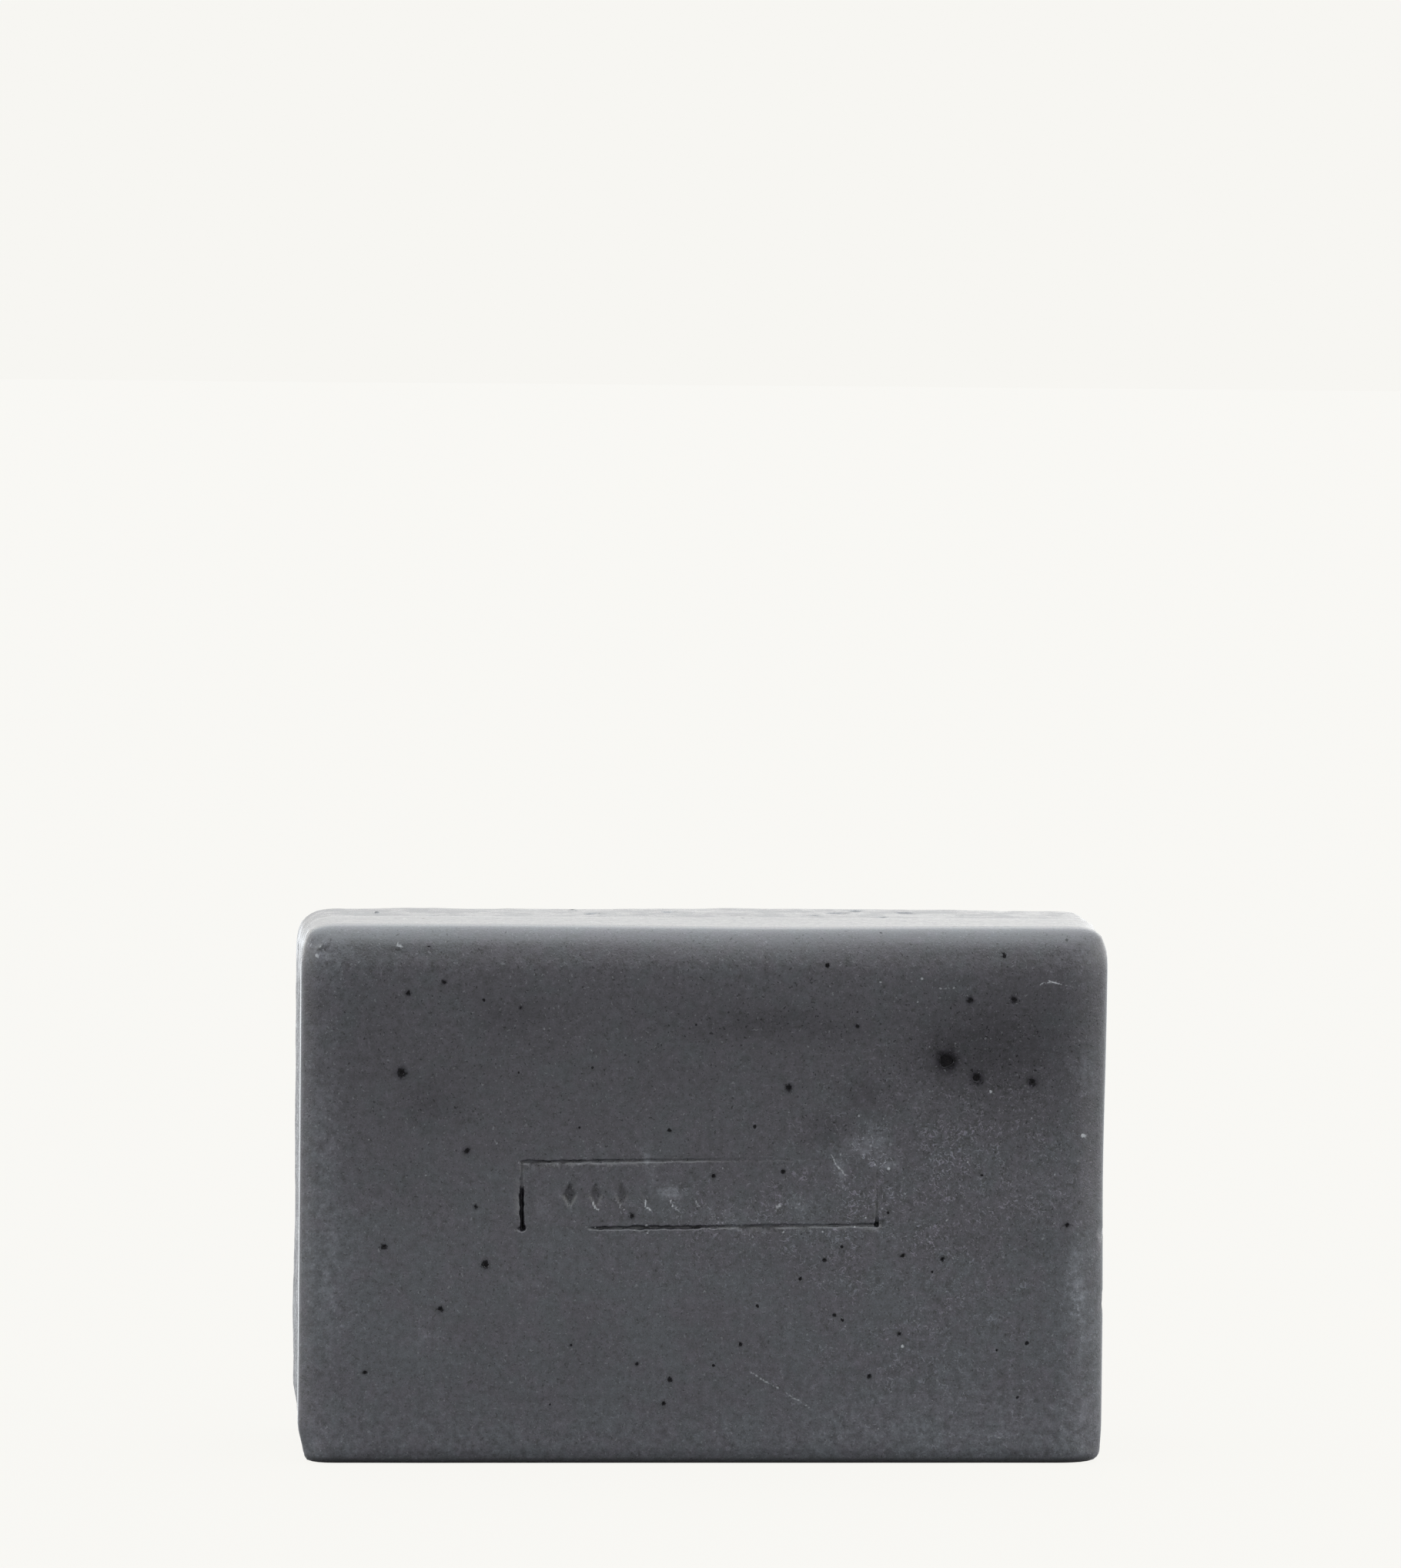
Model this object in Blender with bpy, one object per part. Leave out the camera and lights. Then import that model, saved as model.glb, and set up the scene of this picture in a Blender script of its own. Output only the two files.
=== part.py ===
"""A moulded bar of charcoal soap, standing on one long narrow side.

The soap is one solid block with rounded edges and a shallow stamp on its front face. Coarse grains of
charcoal are set in it. Each grain that reaches a face is a piece of its own, in its own pocket.
+X is the bar's length, the front face looks along -Y, and the bar stands on Z = 0.
"""

import math
import random

import bmesh
import bpy
from mathutils import Matrix, Vector, noise

MM = 0.001

# The block
BAR_LENGTH = 90 * MM
BAR_THICKNESS = 30 * MM
BAR_HEIGHT = 60 * MM
EDGE_RADIUS = 2.8 * MM
EDGE_SEGMENTS = 6

# The stamp: a thin border round a row of plain lozenges, struck deeper at its left end
STAMP_LENGTH = 40.2 * MM
STAMP_HEIGHT = 8 * MM
STAMP_ACROSS = -0.7 * MM
STAMP_UP = 0.5 * MM
STAMP_TURN = math.radians(0.75)
STAMP_DEPTH_LEFT = 0.55 * MM
STAMP_DEPTH_RIGHT = 0.15 * MM
LINE_WIDTH = 0.5 * MM
LOZENGE_COUNT = 11
LOZENGE_WIDTH = 1.6 * MM
LOZENGE_HEIGHT = 3.1 * MM
LOZENGE_PITCH = 2.9 * MM
DIE_HEIGHT = 2 * MM

# The charcoal grains: each one's middle lies a share of its size below the face, and MOUTH_SHARE is how wide
# it then is at the face
POCKET_GAP = 0.05 * MM
GRAIN_BELOW_FACE = 0.03 * MM
CENTRE_DEPTH_SHARE = 0.25
MOUTH_SHARE = 0.87

# How uneven a grain is, as a share of its size, and how many lumps there are across it
UNEVENNESS = 0.28
LUMPS_ACROSS = 2.3

# A grain over this size has a finer mesh than a smaller one, and its edges are sharp over this angle
COARSE_SIZE = 0.9 * MM
COARSE_SUBDIVISIONS = 2
SMALL_SUBDIVISIONS = 1
SHARP_ANGLE = math.radians(40)

# Colours, and how rough each surface is
SOAP_COLOUR = (0.075, 0.075, 0.083)
SOAP_ROUGHNESS = 0.45
CHARCOAL_COLOUR = (0.006, 0.006, 0.007)
CHARCOAL_ROUGHNESS = 0.7

# Front grains, in millimetres: (across from the middle, up from the middle, width at the face)
FRONT_GRAINS = (
    (26.8, 15.4, 2.0),
    (30.1, 13.6, 1.4),
    (36.4, 13.1, 0.9),
    (29.3, 22.3, 0.8),
    (34.2, 22.4, 0.7),
    (16.7, 19.3, 0.5),
    (13.3, 26.1, 0.5),
    (9.2, 12.4, 0.9),
    (8.6, 3.0, 0.6),
    (0.8, 2.5, 0.6),
    (-8.2, -2.0, 0.8),
    (-34.0, 14.0, 1.3),
    (-33.4, 22.8, 0.6),
    (-29.4, 24.1, 0.6),
    (-20.9, 21.3, 0.4),
    (-26.7, 5.2, 0.8),
    (-25.7, -1.0, 0.7),
    (-35.8, -5.5, 0.9),
    (-24.5, -7.5, 1.1),
    (-29.5, -12.5, 0.8),
    (-37.8, -19.6, 0.6),
    (-14.9, -16.5, 0.4),
    (-7.5, -18.6, 0.6),
    (-3.8, -20.3, 0.7),
    (-4.5, -23.1, 0.6),
    (4.0, -16.4, 0.5),
    (13.3, -6.9, 0.5),
    (14.5, -13.1, 0.5),
    (18.5, -20.0, 0.6),
    (21.8, -15.2, 0.7),
    (22.1, -6.4, 0.6),
    (26.5, -6.8, 0.7),
    (40.5, -2.9, 0.6),
)

# How many grains reach each other face, spread over it by a seeded generator. Most of them are small: the
# higher SMALL_GRAIN_BIAS is, the fewer large ones there are
SCATTERED_GRAINS = {"back": 12, "left": 3, "right": 3, "top": 5, "underside": 3}
SCATTER_SEED = 11
SMALLEST_GRAIN = 0.4 * MM
LARGEST_GRAIN = 1.3 * MM
SMALL_GRAIN_BIAS = 3
EDGE_MARGIN = 4 * MM
GRAIN_SPACING = 3 * MM
MIDDLE_MARGIN = 4 * MM

# Each face: (its middle, its outward normal, the direction that runs across it)
MID_HEIGHT = BAR_HEIGHT / 2
FACES = {
    "front": (Vector((0, -BAR_THICKNESS / 2, MID_HEIGHT)), Vector((0, -1, 0)), Vector((1, 0, 0))),
    "back": (Vector((0, BAR_THICKNESS / 2, MID_HEIGHT)), Vector((0, 1, 0)), Vector((-1, 0, 0))),
    "left": (Vector((-BAR_LENGTH / 2, 0, MID_HEIGHT)), Vector((-1, 0, 0)), Vector((0, -1, 0))),
    "right": (Vector((BAR_LENGTH / 2, 0, MID_HEIGHT)), Vector((1, 0, 0)), Vector((0, 1, 0))),
    "top": (Vector((0, 0, BAR_HEIGHT)), Vector((0, 0, 1)), Vector((1, 0, 0))),
    "underside": (Vector((0, 0, 0)), Vector((0, 0, -1)), Vector((1, 0, 0))),
}


def clear_scene():
    for old in list(bpy.data.objects):
        bpy.data.objects.remove(old, do_unlink=True)


def make_material(name, colour, roughness):
    material = bpy.data.materials.new(name)
    material.use_nodes = True
    shader = material.node_tree.nodes["Principled BSDF"]
    shader.inputs["Base Color"].default_value = (*colour, 1)
    shader.inputs["Roughness"].default_value = roughness
    shader.inputs["Metallic"].default_value = 0
    material.diffuse_color = (*colour, 1)
    return material


def add_object(name, bm, material=None):
    """The bmesh as a new object in the scene."""
    mesh = bpy.data.meshes.new(name)
    bmesh.ops.recalc_face_normals(bm, faces=bm.faces)
    bm.to_mesh(mesh)
    bm.free()
    if material:
        mesh.materials.append(material)
    obj = bpy.data.objects.new(name, mesh)
    bpy.context.scene.collection.objects.link(obj)
    return obj


def add_cutter(name, bm):
    cutter = add_object(name, bm)
    cutter.hide_render = True
    cutter.display_type = "WIRE"
    return cutter


def cut(target, cutter):
    boolean = target.modifiers.new("cut by " + cutter.name, "BOOLEAN")
    boolean.operation = "DIFFERENCE"
    boolean.solver = "EXACT"
    boolean.object = cutter


def place_on_face(face, across, up, depth):
    """A frame on a face, sunk to depth: its X runs across the face and its Z points out of it."""
    middle, outward, sideways = FACES[face]
    upward = outward.cross(sideways)
    point = middle + across * sideways + up * upward - depth * outward
    turn = Matrix((sideways, upward, outward)).transposed()
    return Matrix.Translation(point) @ turn.to_4x4()


def build_block(material):
    bm = bmesh.new()
    bmesh.ops.create_cube(bm, size=1)
    bmesh.ops.scale(bm, vec=(BAR_LENGTH, BAR_THICKNESS, BAR_HEIGHT), verts=bm.verts)
    block = add_object("bar_body", bm, material)
    block.location = (0, 0, MID_HEIGHT)
    block.data.shade_smooth()
    rounding = block.modifiers.new("rounded edges", "BEVEL")
    rounding.width = EDGE_RADIUS
    rounding.segments = EDGE_SEGMENTS
    rounding.limit_method = "NONE"
    return block


def add_outline(bm, corners):
    """A flat face through these corners, on the working plane."""
    return bm.faces.new([bm.verts.new((x, y, 0)) for x, y in corners])


def build_stamp_die():
    """The raised face of the die: a border with a row of lozenges inside it."""
    bm = bmesh.new()
    half_length = STAMP_LENGTH / 2
    half_height = STAMP_HEIGHT / 2
    corners = (
        (-half_length, -half_height),
        (half_length, -half_height),
        (half_length, half_height),
        (-half_length, half_height),
    )
    plate = add_outline(bm, corners)
    plate.normal_update()
    bmesh.ops.inset_region(bm, faces=[plate], thickness=LINE_WIDTH, use_boundary=True, use_even_offset=True)
    bmesh.ops.delete(bm, geom=[plate], context="FACES")
    first = -LOZENGE_PITCH * (LOZENGE_COUNT - 1) / 2
    for index in range(LOZENGE_COUNT):
        middle = first + index * LOZENGE_PITCH
        points = (
            (middle - LOZENGE_WIDTH / 2, 0),
            (middle, -LOZENGE_HEIGHT / 2),
            (middle + LOZENGE_WIDTH / 2, 0),
            (middle, LOZENGE_HEIGHT / 2),
        )
        add_outline(bm, points)
    raised = bmesh.ops.extrude_face_region(bm, geom=bm.faces[:])["geom"]
    tops = [item for item in raised if isinstance(item, bmesh.types.BMVert)]
    bmesh.ops.translate(bm, vec=(0, 0, DIE_HEIGHT), verts=tops)
    die = add_cutter("stamp_die", bm)
    middle_depth = (STAMP_DEPTH_LEFT + STAMP_DEPTH_RIGHT) / 2
    lean = math.asin((STAMP_DEPTH_LEFT - STAMP_DEPTH_RIGHT) / STAMP_LENGTH)
    place = place_on_face("front", STAMP_ACROSS, STAMP_UP, middle_depth)
    die.matrix_world = place @ Matrix.Rotation(STAMP_TURN, 4, "Z") @ Matrix.Rotation(-lean, 4, "Y")
    return die


def grain_shape(size, seed):
    """An uneven lump about as wide as size, centred on the origin."""
    bm = bmesh.new()
    subdivisions = COARSE_SUBDIVISIONS if size > COARSE_SIZE else SMALL_SUBDIVISIONS
    bmesh.ops.create_icosphere(bm, subdivisions=subdivisions, radius=0.5)
    for vert in bm.verts:
        swell = noise.noise(vert.co * LUMPS_ACROSS + Vector((seed, 0, 0)))
        vert.co *= size * (1 + UNEVENNESS * swell)
    return bm


def scatter_places():
    """The grains of the faces other than the front: (face, across, up, size) for each."""
    generator = random.Random(SCATTER_SEED)
    extents = {
        "back": (BAR_LENGTH, BAR_HEIGHT),
        "left": (BAR_THICKNESS, BAR_HEIGHT),
        "right": (BAR_THICKNESS, BAR_HEIGHT),
        "top": (BAR_LENGTH, BAR_THICKNESS),
        "underside": (BAR_LENGTH, BAR_THICKNESS),
    }
    places = []
    for face, count in SCATTERED_GRAINS.items():
        length, height = extents[face]
        taken = [Vector((0, 0))]
        while len(taken) <= count:
            across = generator.uniform(-1, 1) * (length / 2 - EDGE_MARGIN)
            up = generator.uniform(-1, 1) * (height / 2 - EDGE_MARGIN)
            spot = Vector((across, up))
            if spot.length < MIDDLE_MARGIN:
                continue
            if min((spot - other).length for other in taken) < GRAIN_SPACING:
                continue
            taken.append(spot)
            share = generator.random() ** SMALL_GRAIN_BIAS
            size = SMALLEST_GRAIN + share * (LARGEST_GRAIN - SMALLEST_GRAIN)
            places.append((face, across, up, size))
    return places


def build_grains(material):
    """Every grain as its own object, and one cutter that holds all their pockets."""
    places = [("front", x * MM, y * MM, size * MM) for x, y, size in FRONT_GRAINS]
    places += scatter_places()
    counts = dict.fromkeys(FACES, 0)
    pockets = bmesh.new()
    for seed, (face, across, up, width) in enumerate(places):
        counts[face] += 1
        size = width / MOUTH_SHARE
        depth = CENTRE_DEPTH_SHARE * size
        frame = place_on_face(face, across, up, depth)
        pocket = grain_shape(size, seed)
        bmesh.ops.scale(pocket, vec=Vector((1, 1, 1)) * (1 + 2 * POCKET_GAP / size), verts=pocket.verts)
        bmesh.ops.transform(pocket, matrix=frame, verts=pocket.verts)
        add_to(pockets, pocket)
        grain = grain_shape(size, seed)
        for vert in grain.verts:
            vert.co.z = min(vert.co.z, depth - GRAIN_BELOW_FACE)
        piece = add_object(f"{face}_grain_{counts[face]:02d}", grain, material)
        piece.matrix_world = frame
        piece.data.shade_smooth()
        piece.data.set_sharp_from_angle(angle=SHARP_ANGLE)
    return add_cutter("grain_pockets", pockets)


def add_to(whole, extra):
    """Copies extra into whole, and frees extra."""
    passing = bpy.data.meshes.new("passing")
    extra.to_mesh(passing)
    extra.free()
    whole.from_mesh(passing)
    bpy.data.meshes.remove(passing)


def main():
    clear_scene()
    soap = make_material("charcoal_soap", SOAP_COLOUR, SOAP_ROUGHNESS)
    charcoal = make_material("charcoal", CHARCOAL_COLOUR, CHARCOAL_ROUGHNESS)
    block = build_block(soap)
    cut(block, build_stamp_die())
    cut(block, build_grains(charcoal))
    shading = block.modifiers.new("flat faces stay flat", "WEIGHTED_NORMAL")
    shading.keep_sharp = True


main()
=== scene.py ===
import itertools
import math

import bmesh
import bpy
import numpy as np
from mathutils import Matrix, Vector


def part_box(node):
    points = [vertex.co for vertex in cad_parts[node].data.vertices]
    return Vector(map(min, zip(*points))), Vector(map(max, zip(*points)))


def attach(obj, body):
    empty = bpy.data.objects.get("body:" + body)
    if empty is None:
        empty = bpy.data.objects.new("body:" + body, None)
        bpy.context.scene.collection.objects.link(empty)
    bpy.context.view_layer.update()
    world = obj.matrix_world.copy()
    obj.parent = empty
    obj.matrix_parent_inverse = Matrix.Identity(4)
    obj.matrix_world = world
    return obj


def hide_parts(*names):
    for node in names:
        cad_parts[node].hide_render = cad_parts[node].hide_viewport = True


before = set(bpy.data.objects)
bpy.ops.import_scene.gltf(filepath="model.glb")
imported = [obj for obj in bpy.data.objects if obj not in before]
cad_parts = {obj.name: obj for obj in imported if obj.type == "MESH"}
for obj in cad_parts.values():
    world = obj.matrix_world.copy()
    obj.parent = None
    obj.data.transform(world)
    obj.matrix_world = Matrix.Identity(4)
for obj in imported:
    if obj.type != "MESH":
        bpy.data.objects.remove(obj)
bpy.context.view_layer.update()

# Sizes and places are in millimetres until a mesh is made. On the front face a place is (across, up)
# from the middle of the face: across is X, and up is Z less half the bar's height.
MM = 0.001
LOW, HIGH = (np.array(corner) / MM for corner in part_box("bar_body"))
MIDDLE = (LOW + HIGH) / 2

# The rounded edges: how far each one reaches in from the sides of X, Y and Z. From the front and the back
# they reach as far as EDGE_DEPTHS say: at the left, at the right, at the underside and at the top.
EDGE_LOW = np.array((4.8, 2.6, 2.0))
EDGE_HIGH = np.array((5.4, 2.6, 5.4))
EDGE_DEPTHS = (1.9, 2.7, 1.8, 3.4)
EDGE_STEPS = 6

# How square each corner is, seen from the front, at the front and at the back: 2 is an ellipse, more is
# squarer. A corner's key is (side, end), each of them -1 at its low end and 1 at its high one. Between
# these places along Y the front's shape gives way to the back's.
CORNERS = {(-1, 1): (3.4, 3.2), (1, 1): (4.0, 7.0), (-1, -1): (3.8, 2.6), (1, -1): (3.8, 3.2)}
CORNERS_CHANGE = (-6, 2)

# The skin's mesh: how wide its cells are, from the plain stretches to the finest marks. A cell is split when
# it is over SPLIT_OVER times as wide as wanted, and CELL_REACH of its width is how far it reaches.
PLAIN_CELL = 0.9
MARK_CELL = 0.12
SOFT_MARK_CELL = 0.24
REFINE_ROUNDS = 3
SPLIT_OVER = 1.35
CELL_REACH = 0.6
# How far round the stamp's border, the row of lozenges, a grain and a chip the cells are fine
BORDER_MARGIN = 0.5
ROW_HALF_HEIGHT = 1.9
ROW_ENDS = (-15.2, 1.5)
GRAIN_MARGIN = 0.3
GRAIN_REACH = 1.5
CHIP_REACH = 1.3

# The stamp, as part.py places it: a thin border round a row of lozenges, worn towards its right end
STAMP_MIDDLE = np.array((-0.7, 0.5))
STAMP_TURN = math.radians(0.75)
STAMP_HALF = np.array((19.85, 3.75))
LINE_HALF_WIDTH = 0.25
LINE_DEPTH = 0.6
LOZENGE_FIRST = -14.5
LOZENGE_PITCH = 2.9
LOZENGE_HALF = np.array((0.85, 1.6))
LOZENGE_DEPTH = 0.32
LOZENGE_WEAR = (1.0, 0.75, 0.6, 0.42, 0.24, 0.15, 0.1, 0.08, 0.06, 0.06, 0.05)
LOZENGE_RIM = 0.25
LOZENGE_TILT = 0.2
# The lozenges with a painted highlight at the foot
LOZENGES_WITH_GLINTING_FEET = (1, 2, 3, 4, 5, 7, 8)
# The painted highlight at a lozenge's foot, a hook, as places from the foot, and where it starts and stops to
# fade
FOOT_HOOK = ((-0.45, 0.75), (-0.3, 0.15), (0.25, -0.25))
FOOT_FADE = (0.04, 0.17)

# How deep each line of the border is along its length: (place along it, share of the full depth)
TOP_LINE = ((-20, 0.4), (-14, 0.42), (-6, 0.28), (2, 0.16), (5, 0.08), (20, 0.05))
BOTTOM_LINE = ((-12.6, 0.0), (-11.8, 0.5), (-6, 0.62), (4, 0.38), (14, 0.28), (20, 0.4))
LEFT_LINE = ((-3.6, 1.1), (0.3, 1.1), (1.0, 0.3), (3.6, 0.25))
RIGHT_LINE = ((-3.6, 0.7), (-2.8, 0.3), (-1.0, 0.18), (1.0, 0.14), (3.6, 0.03))
# Deeper pits at the ends of the lines: (across, up, reach, share of the full depth)
LINE_PITS = (
    (-19.75, -3.7, 0.5, 1.0), (-20.3, -3.75, 0.3, 0.6), (19.8, -3.7, 0.36, 1.0), (20.4, -3.4, 0.3, 0.8),
)
# How much of a groove's half width is its flat floor, and of a pit's or a mark's reach its even middle
GROOVE_FLOOR = 0.35
PIT_FLOOR = 0.3
# The painted shade in a line of the border is full from this share of its full depth on
DARK_FROM_DEPTH = 2 / 3

# Unevenness, each as (how strong, how wide its lumps are, seed)
LINE_WEAR = (0.4, 1.1, 3)
LINE_RAGGED_FINE = (0.35, 0.45, 34)
LINE_RAGGED_WIDE = (0.2, 2.5, 35)
LINE_WANDER = (0.06, 0.8, 36)
FACE_SWELL = (0.05, 14, 1)
FACE_RIPPLE = (0.015, 4, 2)
TORN_SWELL = (0.06, (5, 6, 5), 6)
TORN_RIPPLE = (0.035, 1.4, 7)
CHIP_RAGGED = (0.4, 0.8, 33)
SEAM_SWELL = (0.9, 9, 24)
SEAM_RIPPLE = (0.5, 2, 25)
SCRATCH_GAPS = (1, 1.1, 23)
SPECK_RAGGED = (0.4, 0.3, 28)
# Drifts that move marks about: (how wide their lumps are, the seeds for across and for up)
TONE_DRIFT = (3.2, (21, 22))
MARK_DRIFT = (0.9, (31, 32))


# How many values along each side of the table that smooth noise is read from
CLOUD_TABLE = 32


def ramp(value, start, end):
    """0 before start, 1 after end, and smooth between them."""
    part = np.clip((value - start) / (end - start), 0, 1)
    return part * part * (3 - 2 * part)


def cloud(points, size, seed):
    """Smooth noise from -1 to 1 at each point, with lumps about as wide as size."""
    table = np.random.default_rng(seed).uniform(-1, 1, (CLOUD_TABLE,) * 3)
    cell = points / np.asarray(size)
    base = np.floor(cell).astype(int)
    part = ramp(cell - base, 0, 1)
    total = np.zeros(len(points))
    for corner in itertools.product((0, 1), repeat=3):
        weight = np.where(corner, part, 1 - part).prod(axis=1)
        x, y, z = ((base + corner) % CLOUD_TABLE).T
        total += weight * table[x, y, z]
    return total


def uneven(points, strength, size, seed):
    return strength * cloud(points, size, seed)


def drifting(points, size, seeds):
    """A shift from -1 to 1 of each point, both across and up."""
    return np.stack([cloud(points, size, seed) for seed in seeds], axis=1)


def swell(value, middle, reach):
    """1 at the middle, and falling away over that reach."""
    return np.exp(-((value - middle) / reach) ** 2)


def to_segment(places, start, end):
    """(distance from the segment, share of the way along it) of each place."""
    start, end = np.array(start, float), np.array(end, float)
    along = end - start
    share = np.clip((places - start) @ along / (along @ along), 0, 1)
    return np.linalg.norm(places - start - share[:, None] * along, axis=1), share


def front_places(points):
    return points[:, (0, 2)] - MIDDLE[[0, 2]]


def stamp_places(places):
    """Places in the stamp's own frame, which leans a little up to the right."""
    across, up = (places - STAMP_MIDDLE).T
    cos, sin = math.cos(STAMP_TURN), math.sin(STAMP_TURN)
    return np.stack((cos * across + sin * up, cos * up - sin * across), axis=1)


def depth_along(steps, place):
    return np.interp(place, *zip(*steps))


def fading(distance, reach, floor=PIT_FLOOR):
    """1 over the even middle of a mark, and 0 from its reach on."""
    return 1 - ramp(distance, floor * reach, reach)


def stamp_depth(places, points):
    """How deep the stamp sinks in at each place."""
    own = stamp_places(places)
    across, up = own.T
    half_length, half_height = STAMP_HALF
    wear = 1 + uneven(points, *LINE_WEAR)
    ragged = 1 + uneven(points, *LINE_RAGGED_FINE) + uneven(points, *LINE_RAGGED_WIDE)
    wander = uneven(points, *LINE_WANDER)
    lines = (
        (abs(up - half_height), across, half_length, TOP_LINE),
        (abs(up + half_height), across, half_length, BOTTOM_LINE),
        (abs(across + half_length), up, half_height, LEFT_LINE),
        (abs(across - half_length), up, half_height, RIGHT_LINE),
    )
    depth = np.zeros(len(places))
    for distance, along, reach, steps in lines:
        beyond = np.clip(abs(along) - reach, 0, None)
        section = fading(np.hypot(distance + wander, beyond), LINE_HALF_WIDTH * ragged, GROOVE_FLOOR)
        depth = np.maximum(depth, LINE_DEPTH * section * depth_along(steps, along) * wear)
    for place, height, reach, share in LINE_PITS:
        away = np.hypot(across - place, up - height) / ragged
        depth = np.maximum(depth, LINE_DEPTH * share * fading(away, reach))
    for number, strength in enumerate(LOZENGE_WEAR):
        middle = LOZENGE_FIRST + number * LOZENGE_PITCH + wander / 2
        inside = 1 - abs(across - middle) / LOZENGE_HALF[0] - abs(up) / LOZENGE_HALF[1]
        tilt = 1 - LOZENGE_TILT + LOZENGE_TILT * up / LOZENGE_HALF[1]
        depth = np.maximum(depth, LOZENGE_DEPTH * strength * ramp(inside, 0, LOZENGE_RIM) * tilt)
    return depth


def skin_grid():
    """The block's surface as a grid of points and quads, before its edges are rounded."""
    lines = []
    for low, high, first, last in zip(LOW, HIGH, EDGE_LOW, EDGE_HIGH):
        turn = np.tan(np.radians(np.linspace(0, 45, EDGE_STEPS + 1)[1:]))
        flat = np.linspace(low + first, high - last, round((high - low) / PLAIN_CELL))
        before = (low + first - first * turn)[::-1]
        after = high - last + last * turn
        lines.append(np.concatenate((before, flat, after)))
    shape = tuple(len(line) for line in lines)
    outer = np.zeros(shape, bool)
    for axis in range(3):
        for end in (0, -1):
            np.moveaxis(outer, axis, 0)[end] = True
    index = np.zeros(shape, int)
    index[outer] = np.arange(outer.sum())
    points = np.stack(np.meshgrid(*lines, indexing="ij"), axis=-1)[outer]
    quads = []
    for axis in range(3):
        for end in (0, -1):
            sheet = np.moveaxis(index, axis, 0)[end]
            corners = (sheet[:-1, :-1], sheet[1:, :-1], sheet[1:, 1:], sheet[:-1, 1:])
            quads.append(np.stack(corners, axis=-1).reshape(-1, 4))
    return points, np.concatenate(quads)


def squareness(points):
    """How square the corner nearest to each point is."""
    behind = ramp(points[:, 1], *CORNERS_CHANGE)
    result = np.zeros(len(points))
    for (side, end), (at_front, at_back) in CORNERS.items():
        here = ((points[:, 0] > MIDDLE[0]) == (side > 0)) & ((points[:, 2] > MIDDLE[2]) == (end > 0))
        result[here] = (at_front + behind * (at_back - at_front))[here]
    return result


def rounded(points):
    """(place, outward normal) on the rounded block of each point on the plain one."""
    tiny = 1e-6
    inner = np.clip(points, LOW + EDGE_LOW, HIGH - EDGE_HIGH)
    radii = np.where(points < MIDDLE, EDGE_LOW, EDGE_HIGH)
    across, up = ((points - inner) / radii)[:, (0, 2)].T ** 2 + tiny
    side = np.where(points[:, 0] < MIDDLE[0], EDGE_DEPTHS[0], EDGE_DEPTHS[1])
    end = np.where(points[:, 2] < MIDDLE[2], EDGE_DEPTHS[2], EDGE_DEPTHS[3])
    radii[:, 1] = (across * side + up * end) / (across + up)
    inner[:, 1] = np.clip(points[:, 1], LOW[1] + radii[:, 1], HIGH[1] - radii[:, 1])
    unit = (points - inner) / radii
    power = squareness(points)
    outline = abs(unit[:, (0, 2)]) ** power[:, None]
    total = outline.sum(axis=1)
    unit /= np.sqrt(total ** (2 / power) + unit[:, 1] ** 2)[:, None]
    slope = unit.copy()
    spread = np.where(total > 0, total, 1) ** (2 / power - 1)
    for axis, part in zip((0, 2), outline.T):
        across = np.where(unit[:, axis] == 0, 1, unit[:, axis])
        slope[:, axis] = spread * part * np.sign(across) / np.maximum(abs(across), 1e-9)
    normal = slope / radii
    normal /= np.linalg.norm(normal, axis=1)[:, None]
    return inner + unit * radii, normal


# A grain's radius at the face it reaches, as a share of its width
MOUTH_SHARE = 0.41
# How much of a grain shows there, for those that are partly covered or stand out more: 1 is the usual share
GRAIN_SHARES = {
    "front_grain_01": 1.3, "front_grain_02": 0.85, "front_grain_04": 0.65, "front_grain_06": 0.55,
    "front_grain_07": 0.45, "front_grain_09": 0.6, "front_grain_11": 0.75, "front_grain_12": 0.85,
    "front_grain_14": 0.65, "front_grain_15": 0.5, "front_grain_16": 0.7, "front_grain_17": 0.5,
    "front_grain_18": 0.8, "front_grain_19": 0.85, "front_grain_20": 0.65, "front_grain_22": 0.5,
    "front_grain_23": 0.5, "front_grain_24": 0.65, "front_grain_27": 1.2, "front_grain_28": 0.55,
    "front_grain_30": 0.65, "front_grain_32": 0.75,
}


def grain_mouths():
    """(face, middle, radius, share shown) of each grain of charcoal at the face it reaches."""
    mouths = []
    for name in sorted(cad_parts):
        if name == "bar_body":
            continue
        low, high = (np.array(corner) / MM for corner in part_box(name))
        width = np.sort(high - low)[1:].mean()
        face = name.split("_")[0]
        mouths.append((face, (low + high) / 2, MOUTH_SHARE * width, GRAIN_SHARES.get(name, 1)))
    return mouths


FACE_AXES = {
    "front": (1, -1), "back": (1, 1), "left": (0, -1), "right": (0, 1), "top": (2, 1), "underside": (2, -1),
}
MOUTHS = grain_mouths()


def on_face(points, face):
    """Which points belong to a face, the edge round it included."""
    axis, side = FACE_AXES[face]
    limit = HIGH[axis] - EDGE_HIGH[axis] if side > 0 else LOW[axis] + EDGE_LOW[axis]
    return points[:, axis] * side >= limit * side


def grain_distance(points, face, middle):
    """Distance from a grain's middle along the face it reaches."""
    offset = points - middle
    offset[:, FACE_AXES[face][0]] = 0
    return np.linalg.norm(offset, axis=1)


def near_grain(points, face, middle, reach):
    """The numbers of the points on a face that lie within reach of a grain's middle."""
    return np.flatnonzero(on_face(points, face) & (grain_distance(points, face, middle) < reach))


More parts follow.
